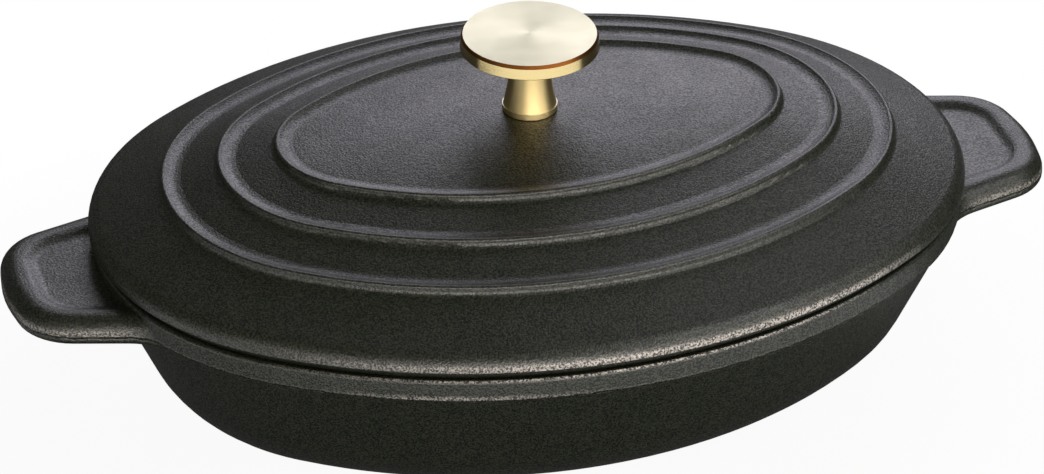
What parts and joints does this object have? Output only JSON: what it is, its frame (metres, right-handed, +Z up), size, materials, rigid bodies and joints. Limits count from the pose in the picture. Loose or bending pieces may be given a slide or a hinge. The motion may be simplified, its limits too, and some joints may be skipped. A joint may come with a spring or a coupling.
{
  "type": "lidded oval baking dish",
  "caption": "Oval baking dish with flat ears and a stepped lid, in matt black enamelled cast iron, with a turned brass knob screwed on from inside the lid.",
  "frame": {"origin": "middle of the flat base, on the surface the dish stands on", "axes": "+Z up, +X along the length towards one ear, +Y across the width"},
  "size_m": [0.2772, 0.173, 0.0961],
  "materials": {
    "enamelled_iron": "matt black enamel with a fine grain",
    "brass": "turned satin brass with polished edges",
    "stainless": "plain satin"
  },
  "bodies": {
    "dish_body": {"dish": "enamelled_iron"},
    "lid_body": {"lid": "enamelled_iron", "knob": "brass", "knob_washer": "stainless", "knob_screw": "stainless"}
  },
  "joints": [
    {"name": "lid_lift", "type": "slide", "parent": "dish_body", "child": "lid_body", "axis": [0, 0, 1], "range_m": [0, 0.12]}
  ]
}
